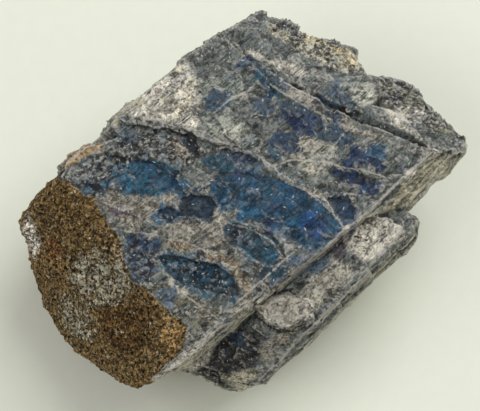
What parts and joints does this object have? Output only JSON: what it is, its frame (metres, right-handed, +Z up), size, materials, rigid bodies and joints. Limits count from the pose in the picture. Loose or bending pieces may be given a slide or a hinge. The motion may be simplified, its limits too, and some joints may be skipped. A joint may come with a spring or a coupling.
{
  "type": "labradorite specimen",
  "caption": "Loose cleavage chunk of labradorite feldspar with a stepped flat top, a front ledge and a weathered end.",
  "frame": {"origin": "on the resting plane, under the middle of the stone's outline", "axes": "+X along the long cleavage edges towards the freshly broken end, +Y towards the high back edge, +Z up out of the blue cleavage face"},
  "size_m": [0.1058, 0.076, 0.0387],
  "materials": {
    "labradorite": "glassy cleavage with blue play of colour on the top, rough on the broken sides, rusty at one end"
  },
  "bodies": {
    "root": {"labradorite_stone": "labradorite"}
  },
  "joints": []
}
